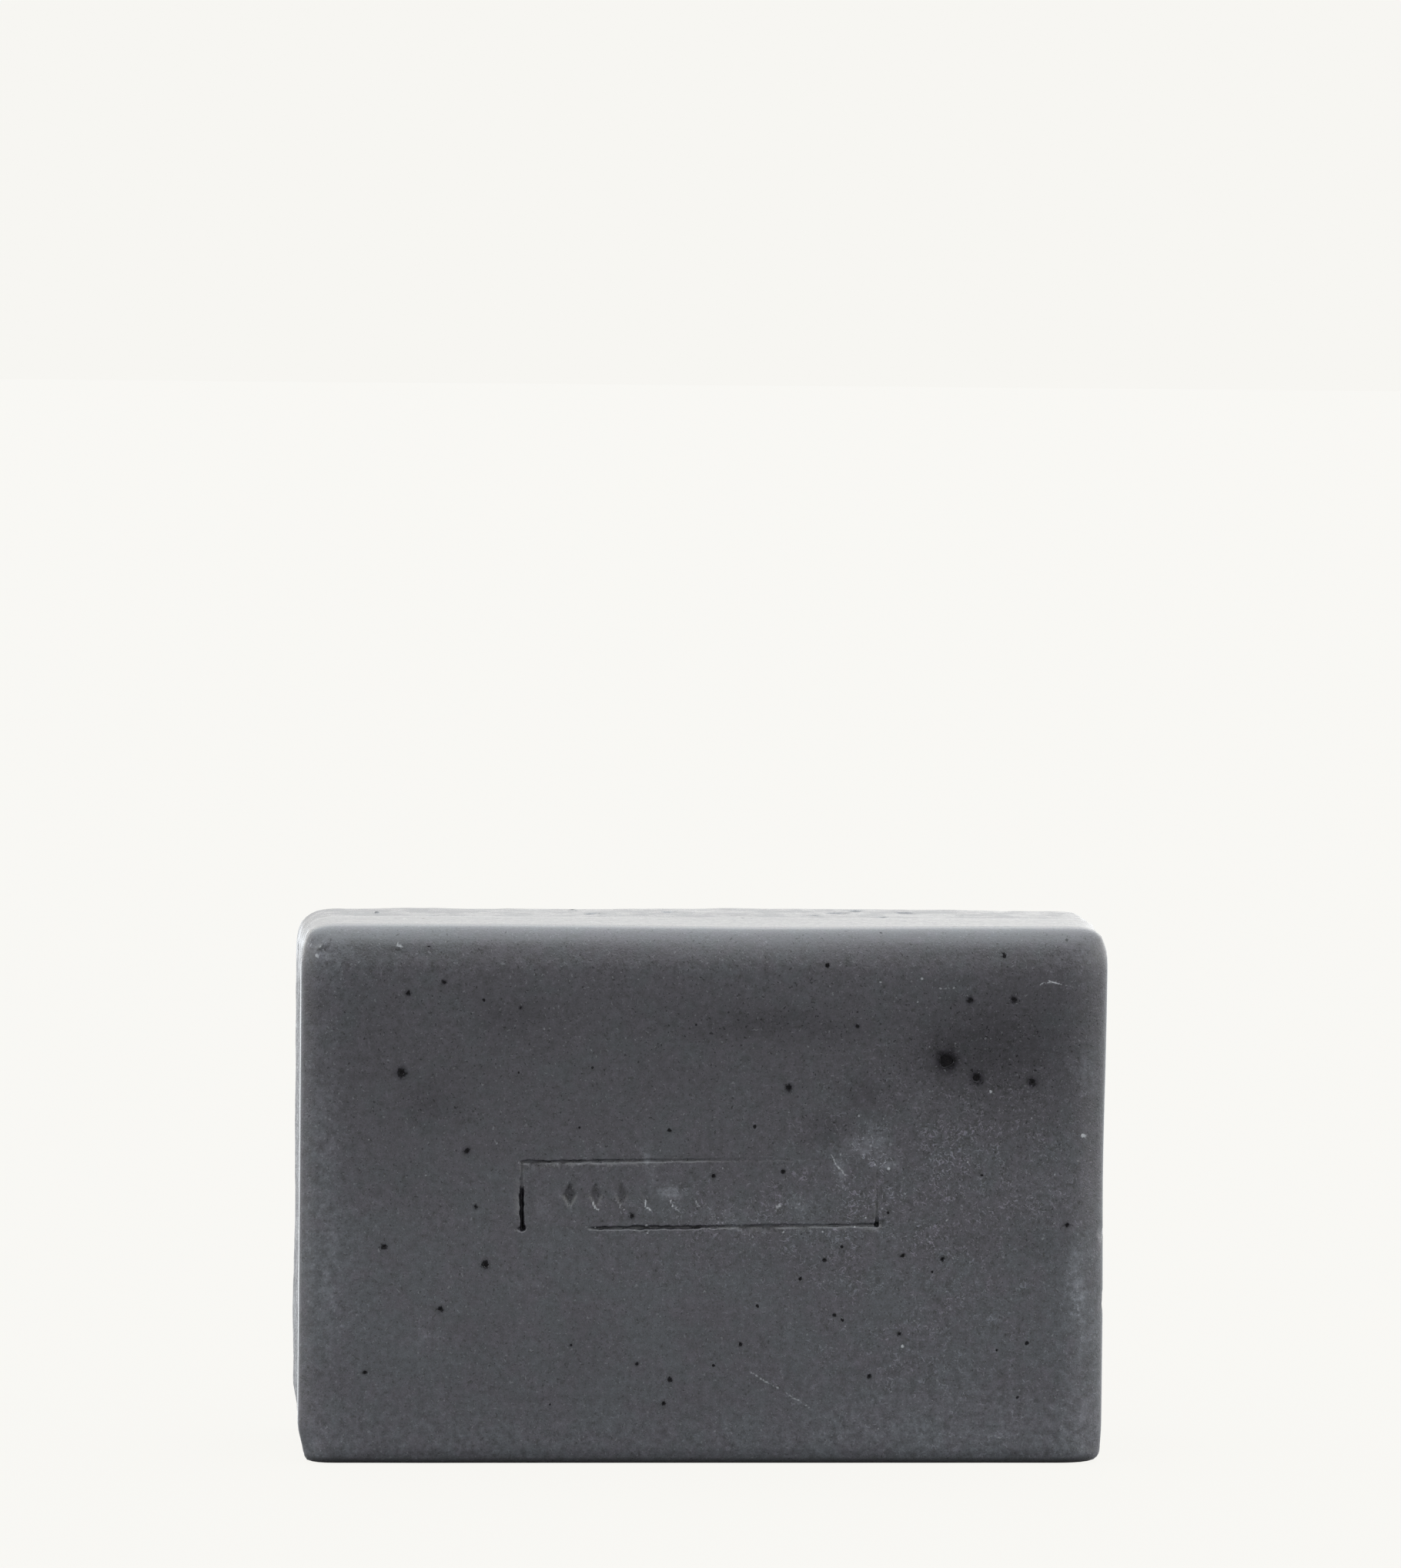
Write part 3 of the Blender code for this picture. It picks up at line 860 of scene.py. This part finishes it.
class Surface:
    """A new Principled material, and the patterns for it, which are measured in millimetres."""

    def __init__(self, name):
        self.material = bpy.data.materials.new(name)
        self.material.use_nodes = True
        self.tree = self.material.node_tree
        self.shader = self.tree.nodes["Principled BSDF"]
        place = add(self.tree, "ShaderNodeTexCoord").outputs["Object"]
        self.place = self.scaled(place, 1 / MM)
        waves = {"Vector": self.place, "Scale": 1 / WARP_SIZE, "Detail": 1.0}
        inputs = {0: add(self.tree, "ShaderNodeTexNoise", waves).outputs["Color"], 1: (0.5, 0.5, 0.5)}
        self.warp = add(self.tree, "ShaderNodeVectorMath", inputs, operation="SUBTRACT").outputs[0]

    def scaled(self, vector, scale):
        inputs = {0: vector, "Scale": scale}
        return add(self.tree, "ShaderNodeVectorMath", inputs, operation="SCALE").outputs[0]

    def moved(self, offset):
        return add(self.tree, "ShaderNodeVectorMath", {0: self.place, 1: offset}).outputs[0]

    def noise(self, size, detail=2, roughness=0.5, distortion=0, offset=(0, 0, 0)):
        inputs = {
            "Vector": self.moved(offset), "Scale": 1 / size, "Detail": detail,
            "Roughness": roughness, "Distortion": distortion,
        }
        return Value(self.tree, add(self.tree, "ShaderNodeTexNoise", inputs).outputs[0])

    def scatter(self, share, spacing, reach, bend=0.0, offset=(0, 0, 0)):
        """Spots up to reach in radius, in that share of the cells, which are about spacing wide."""
        inputs = {0: self.scaled(self.warp, 2 * bend), 1: self.moved(offset)}
        place = add(self.tree, "ShaderNodeVectorMath", inputs).outputs[0]
        cells = add(self.tree, "ShaderNodeTexVoronoi", {"Vector": place, "Scale": 1 / spacing})
        parts = add(self.tree, "ShaderNodeSeparateColor", {0: cells.outputs["Color"]}).outputs
        chance, size, strength = (Value(self.tree, part) for part in parts)
        largest = reach / spacing
        radius = size * ((1 - SMALLEST_SPOT) * largest) + SMALLEST_SPOT * largest
        spot = Value(self.tree, cells.outputs["Distance"]).ramp(radius * SPOT_MIDDLE, radius).invert()
        return spot * (strength * (1 - FAINTEST_SPOT) + FAINTEST_SPOT) * chance.math("LESS_THAN", share)

    def mask(self, name):
        return Value(self.tree, add(self.tree, "ShaderNodeAttribute", attribute_name=name).outputs["Fac"])

    def blend(self, share, first, second, kind="MIX"):
        inputs = {0: plain(share), 1: plain(first), 2: plain(second)}
        return add(self.tree, "ShaderNodeMixRGB", inputs, blend_type=kind).outputs[0]

    def bump(self, height, depth, under=None):
        """Relief of that depth in millimetres, over another relief if one is given."""
        inputs = {"Height": plain(height), "Distance": depth * MM, "Strength": 1.0}
        if under:
            inputs["Normal"] = under
        return add(self.tree, "ShaderNodeBump", inputs).outputs[0]

    def finish(self, **inputs):
        for name, value in inputs.items():
            socket = self.shader.inputs[name.replace("_", " ")]
            value = plain(value)
            if isinstance(value, bpy.types.NodeSocket):
                self.tree.links.new(value, socket)
            else:
                socket.default_value = value
        return self.material


# The soap's patterns: (how wide their lumps are, detail, roughness, distortion, an offset to set them apart)
PATTERNS = {
    "grain": (0.22, 1, 0.6, 0, (0, 0, 0)),
    "mottle": (1.0, 3, 0.8, 0, (31, 0, 0)),
    "drift": (6, 3, 0.6, 0, (0, 47, 0)),
    "thick": (3.5, 2, 0.5, 0, (17, 0, 0)),
    "soot": (0.27, 1, 0.5, 0.5, (0, 9, 0)),
    "flakes": (0.5, 2, 0.6, 0.8, (19, 0, 4)),
    "dust": (0.3, 1, 0.5, 0.6, (0, 0, 13)),
    "curl": (0.55, 2, 0.6, 1.5, (0, 5, 0)),
    "crease": (0.55, 2, 0.6, 1.5, (0, 91, 0)),
    "ragged": (0.25, 3, 0.7, 0, (0, 0, 29)),
    "tint": (3.0, 4, 0.7, 0, (0, 0, 71)),
    "crumbly": (0.3, 2, 0.5, 0, (0, 0, 37)),
    "lumpy": (1.4, 2, 0.5, 0, (13, 0, 0)),
    "patchy": (3.2, 4, 0.7, 0, (0, 61, 0)),
}
# Between which of its values a pattern comes in. A stain has a dark core in a fainter edge.
LIMITS = {
    "thick": (0.4, 0.65), "soot": (0.665, 0.72), "flakes": (0.655, 0.7), "dust": (0.68, 0.72),
    "curl": (0.61, 0.7), "crease": (0.61, 0.7), "core": (0.47, 0.75), "edge": (0.1, 0.8),
    "tint": (0.33, 0.63), "patchy": (0.42, 0.6), "crumbly": (0, 0.4), "bloom_and_light": (0, 3),
}
# Scattered spots: (spacing, reach, how far they are bent out of round, offset), and how many cells have one
BLACK_SPOTS = (2.6, 0.32, 0.12, (5, 0, 0))
BLACK_SHARE = 0.4
PALE_SPOTS = (1.3, 0.2, 0.15, (0, 3, 1))
# Straight lines, each as (rise, start): how cracked the face looks against how thick its patches are, against
# that how strong the curls and creases are and how many cells have a pale spot, and against the strength of a
# scratch or of a painted glint how crumbly it is
CRACKING = (0.7, 0.45)
CURL_STRENGTH = (1.6, 0.62)
CREASE_STRENGTH = (0.3, 0.5)
PALE_SHARES = (0.3, 0.06)
CRUMBLING = (0.7, 0.2)
# How much more of a pattern comes in where another is strong
FLAKES_IN_PATCHES = 0.02
CURLS_IN_CRACKED = 0.05
CREASES_IN_CRACKED = 0.04
RAGGED_STAIN = 0.7
RAGGED_SCRATCH = 1.4
DRIFTING_TINT = 0.6
SHADED_TINT = 0.1
# How the bloom and its painted light follow the mottle and the curls, and how much of it is even
BLOOM_AND_LIGHT_MOTTLE = 3
BLOOM_AND_LIGHT_CURL = 0.6
BLOOM_AND_LIGHT_EVEN = 0.9
# How strongly the patterns vary the tone
GRAIN_CONTRAST = 1.1
MOTTLE_CONTRAST = 2.4
DRIFT_CONTRAST = 0.5
CRACKED_CONTRAST = 0.6
STAIN_EDGE = 0.4
# The masks that build_skin writes
MASKS = ("shaded", "hazed_and_lit", "cracked", "scratched_and_glinting", "stained", "painted_shade", "polished", "torn", "speckled")
# What share of the tone each mark takes away, and how much each dulls the shine, against 1 for a stain
DARKENS = {"shaded": 0.3, "soot": 0.7, "flakes": 0.8, "painted_shade": 0.72, "stain": 0.92, "black": 0.95}
DULLS = {"painted_shade": 0.6, "shaded": 0.3, "soot": 0.3, "black": 0.6, "speckled": 0.3}
MOST_DULLED = 0.42
SHINE = 0.5
DARKEST = 0.05
# The soap's two tints, the bloom with its painted light, and the pale marks with their painted glints
SOAP_PURPLE = (0.0125, 0.0109, 0.0145, 1)
SOAP_BLUE = (0.0108, 0.0116, 0.0140, 1)
BLOOM_AND_LIGHT = (0.085, 0.09, 0.1, 1)
PALE_AND_GLINT = (0.27, 0.28, 0.29, 1)
PALE_SHARE = 0.45
DUST_SHARE = 0.16
CRUMB_SHARE = 0.42
# How rough the soap is, and how much more or less where it is torn, smooth or speckled
ROUGHNESS = 0.39
ROUGHER_MOTTLED = 0.3
SMOOTHER_TORN = 0.22
ROUGHER_PATCHY = 0.14
SMOOTHER_POLISHED = 0.2
ROUGHER_SPECKLED = 0.27
SPECKLE_CONTRAST = 1.2
SOAP_IOR = 1.45
# How deep the relief of the fine grain and of the wider lumps is, how proud a curl stands against the grain,
# and how much lumpier torn soap is
GRAIN_RELIEF = 0.025
LUMP_RELIEF = 0.03
CURL_RELIEF = 0.4
TORN_LUMPS = (2, 1)


def soap_material():
    """Dark waxy soap, with fine grain, dark flecks, pale dust and curls, bloom, and what the masks say,
    painted light, shade and glints among them.
    """
    soap = Surface("charcoal_soap_waxy")
    mark = {name: soap.mask(name) for name in MASKS}
    pattern = {name: soap.noise(*values) for name, values in PATTERNS.items()}
    grain, mottle, drift, ragged = (pattern[name] - 0.5 for name in ("grain", "mottle", "drift", "ragged"))
    thick = pattern["thick"].ramp(*LIMITS["thick"])
    cracked = mark["cracked"] * thick.line(*CRACKING)
    mark["soot"] = pattern["soot"].ramp(*LIMITS["soot"])
    mark["flakes"] = (pattern["flakes"] + thick * FLAKES_IN_PATCHES).ramp(*LIMITS["flakes"])
    mark["black"] = soap.scatter(BLACK_SHARE, *BLACK_SPOTS)
    dust = pattern["dust"].ramp(*LIMITS["dust"])
    crumbs = soap.scatter(cracked.line(*PALE_SHARES), *PALE_SPOTS)
    curl = (pattern["curl"] + cracked * CURLS_IN_CRACKED).ramp(*LIMITS["curl"])
    curl = curl * cracked.line(*CURL_STRENGTH)
    crease = (pattern["crease"] + cracked * CREASES_IN_CRACKED).ramp(*LIMITS["crease"])
    crease = crease * cracked.line(*CREASE_STRENGTH)
    core = (mark["stained"] + ragged * RAGGED_STAIN).ramp(*LIMITS["core"])
    mark["stain"] = core.most(mark["stained"].ramp(*LIMITS["edge"]) * STAIN_EDGE)
    speckle = (grain * GRAIN_CONTRAST + mottle * MOTTLE_CONTRAST) * cracked.line(CRACKED_CONTRAST, 1)
    tone = speckle + drift * DRIFT_CONTRAST + curl - crease + 1
    # These marks darken the tone: the stamp's hollows, the foot and the top of the face among them with
    # painted shade
    for name, share in DARKENS.items():
        tone = tone * mark[name].line(-share, 1)
    tint = pattern["tint"] + drift * DRIFTING_TINT - mark["shaded"] * SHADED_TINT
    tint = tint.ramp(*LIMITS["tint"])
    colour = soap.blend(tint, SOAP_PURPLE, SOAP_BLUE)
    colour = soap.blend(1, colour, tone.most(DARKEST), "MULTIPLY")
    # The bloom, with painted light along the sides, at the top corners, low on the face and at the foot
    bloom_and_light = mark["hazed_and_lit"] * (mottle * BLOOM_AND_LIGHT_MOTTLE + curl * BLOOM_AND_LIGHT_CURL + BLOOM_AND_LIGHT_EVEN)
    colour = soap.blend(bloom_and_light.ramp(*LIMITS["bloom_and_light"]), colour, BLOOM_AND_LIGHT)
    # Scratches, crumbs and the painted highlights at the lozenges' feet
    scratched_and_glinting = mark["scratched_and_glinting"]
    crumbly = (scratched_and_glinting + pattern["crumbly"] * RAGGED_SCRATCH - 1).ramp(*LIMITS["crumbly"])
    crumbly = crumbly * scratched_and_glinting.line(*CRUMBLING)
    pale = (dust * DUST_SHARE).most(crumbs * CRUMB_SHARE).most(crumbly)
    colour = soap.blend(pale * PALE_SHARE, colour, PALE_AND_GLINT)
    relief = soap.bump(grain + curl * CURL_RELIEF, GRAIN_RELIEF)
    relief = soap.bump(pattern["lumpy"] * mark["torn"].line(*TORN_LUMPS), LUMP_RELIEF, relief)
    torn = pattern["patchy"].ramp(*LIMITS["patchy"]) * ROUGHER_PATCHY - SMOOTHER_TORN
    roughness = mottle * ROUGHER_MOTTLED + ROUGHNESS + mark["torn"] * torn
    roughness = roughness - mark["polished"] * SMOOTHER_POLISHED
    roughness = roughness + mark["speckled"] * (grain * SPECKLE_CONTRAST + ROUGHER_SPECKLED)
    dulled = mark["stain"]
    for name, share in DULLS.items():
        dulled = dulled + mark[name] * share
    shine = dulled.ramp(0, 1).line(-MOST_DULLED, SHINE)
    return soap.finish(
        Base_Color=colour, Roughness=roughness, Normal=relief, IOR=SOAP_IOR, Specular_IOR_Level=shine,
    )


# The grains: how wide and deep their crumbs are, how rough, and their darkest, lightest and glinting tones
CRUMB_SIZE = 0.16
CRUMB_RELIEF = 0.12
CRUMB_TONES = (0.35, 0.7)
CRUMB_ROUGHNESS = (0.3, 0.55)
CHARCOAL_SHINE = 0.04
CHARCOAL_IOR = 1.5
CHARCOAL_DARK = (0.0008, 0.0007, 0.0009, 1)
CHARCOAL_LIGHT = (0.0032, 0.0028, 0.0032, 1)
GLINT = (0.06, 0.06, 0.065, 1)
# (how many cells have a glint, spacing, reach), and how much of its colour a glint has
GLINTS = (0.12, 0.35, 0.08)
GLINT_SHARE = 0.5


def charcoal_material():
    """Matt black charcoal, broken and crumbly, with a few glints."""
    charcoal = Surface("charcoal_grain_black")
    crumb = charcoal.noise(CRUMB_SIZE, 3, 0.6)
    colour = charcoal.blend(crumb.ramp(*CRUMB_TONES), CHARCOAL_DARK, CHARCOAL_LIGHT)
    colour = charcoal.blend(charcoal.scatter(*GLINTS) * GLINT_SHARE, colour, GLINT)
    return charcoal.finish(
        Base_Color=colour, Roughness=crumb.line(*CRUMB_ROUGHNESS), Normal=charcoal.bump(crumb, CRUMB_RELIEF),
        Specular_IOR_Level=CHARCOAL_SHINE, IOR=CHARCOAL_IOR,
    )


def build_light():
    """A soft studio all round: brightest overhead, white behind the bar and dimmer in front of it."""
    world = bpy.data.worlds.new("white_studio")
    bpy.context.scene.world = world
    world.use_nodes = True
    tree = world.node_tree
    tree.nodes.clear()
    heading = add(tree, "ShaderNodeTexCoord").outputs["Generated"]
    x, y, z = (Value(tree, part) for part in add(tree, "ShaderNodeSeparateXYZ", {0: heading}).outputs)
    overhead = z.ramp(*OVERHEAD_ALONG_Z)
    around = y.ramp(*BEHIND_ALONG_Y) * (ROOM_BEHIND - ROOM_IN_FRONT) + ROOM_IN_FRONT
    around += x.ramp(*RIGHT_ALONG_X) * ROOM_RIGHT + x.ramp(*LEFT_ALONG_X) * ROOM_LEFT
    lit = around + overhead * (around * -1 + ROOM_OVERHEAD) + z.ramp(*STRAIGHT_UP_ALONG_Z) * ROOM_STRAIGHT_UP
    tint = add(tree, "ShaderNodeMixRGB", {0: overhead.socket, 1: LEVEL_TINT, 2: OVERHEAD_TINT}).outputs[0]
    room = add(tree, "ShaderNodeMixRGB", {0: 1.0, 1: tint, 2: lit.socket}, blend_type="MULTIPLY")
    seen = add(tree, "ShaderNodeLightPath").outputs["Is Camera Ray"]
    glow = add(tree, "ShaderNodeMixRGB", {0: seen, 1: room.outputs[0], 2: (*BACKDROP, 1)}).outputs[0]
    shine = add(tree, "ShaderNodeBackground", {"Color": glow}).outputs[0]
    add(tree, "ShaderNodeOutputWorld", {"Surface": shine})


# The camera: its distance from the bar's middle in metres, its angles in degrees and its lens in millimetres
CAMERA_DISTANCE = 1.0254
LEFT_OF_BAR = 4.19
ABOVE_BAR = 6.754
AIMED_HIGHER = 2.518
ROLL = 0.614
SENSOR_WIDTH = 36
LENS = 207.95
NEAREST, FARTHEST = 0.05, 50


def build_camera():
    """The camera at the photograph's viewing angle: low, a little left of the bar, and aimed above it."""
    camera = bpy.data.cameras.new("camera")
    camera.sensor_width = SENSOR_WIDTH
    camera.lens = LENS
    camera.clip_start = NEAREST
    camera.clip_end = FARTHEST
    view = bpy.data.objects.new("camera", camera)
    bpy.context.scene.collection.objects.link(view)
    bpy.context.scene.camera = view
    left, above = math.radians(LEFT_OF_BAR), math.radians(ABOVE_BAR)
    away = Vector((-math.sin(left) * math.cos(above), -math.cos(left) * math.cos(above), math.sin(above)))
    heading = Matrix.Rotation(-left, 4, "Z")
    pitch = Matrix.Rotation(math.pi / 2 - above + math.radians(AIMED_HIGHER), 4, "X")
    roll = Matrix.Rotation(math.radians(ROLL), 4, "Z")
    place = Matrix.Translation(Vector(MIDDLE) * MM + away * CAMERA_DISTANCE)
    view.matrix_world = place @ heading @ pitch @ roll


skin = build_skin()
skin.data.materials.append(soap_material())
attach(skin, "root")
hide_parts("bar_body")
charcoal = charcoal_material()
for name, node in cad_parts.items():
    if name != "bar_body":
        node.data.materials.clear()
        node.data.materials.append(charcoal)
floor = build_floor()
floor.data.materials.append(floor_material())
build_light()
build_camera()
bpy.context.scene.view_settings.view_transform = "Standard"
